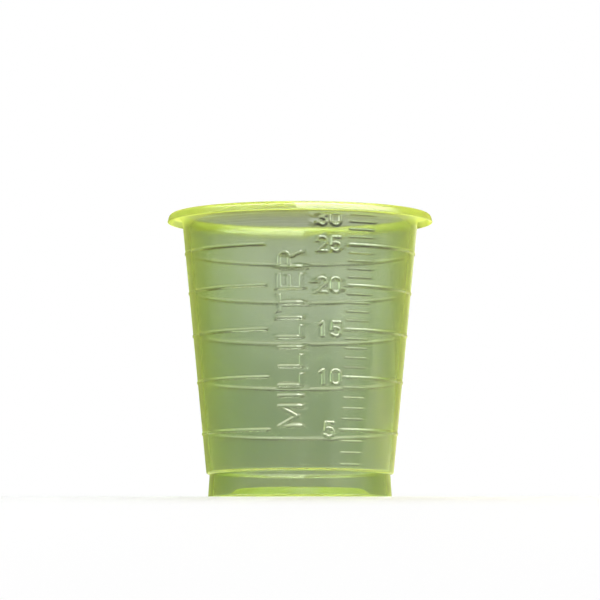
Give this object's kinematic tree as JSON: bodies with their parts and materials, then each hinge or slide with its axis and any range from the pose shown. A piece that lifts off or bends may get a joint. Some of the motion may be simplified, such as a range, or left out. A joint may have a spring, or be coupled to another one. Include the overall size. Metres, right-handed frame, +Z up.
{
  "type": "graduated medicine cup",
  "caption": "Small open dosing cup of translucent plastic with a turned-down rim, a raised millilitre scale on its leaning wall, and a stepped foot.",
  "frame": {"origin": "middle of the base, on the surface that the cup stands on", "axes": "+Z up through the mouth, -Y out of the front of the scale, +X to the right of the scale as it is read"},
  "size_m": [0.0396, 0.0396, 0.0426],
  "materials": {
    "translucent_polypropylene": "hazy translucent yellow-green moulded polypropylene"
  },
  "bodies": {
    "root": {"medicine_cup": "translucent_polypropylene"}
  },
  "joints": []
}
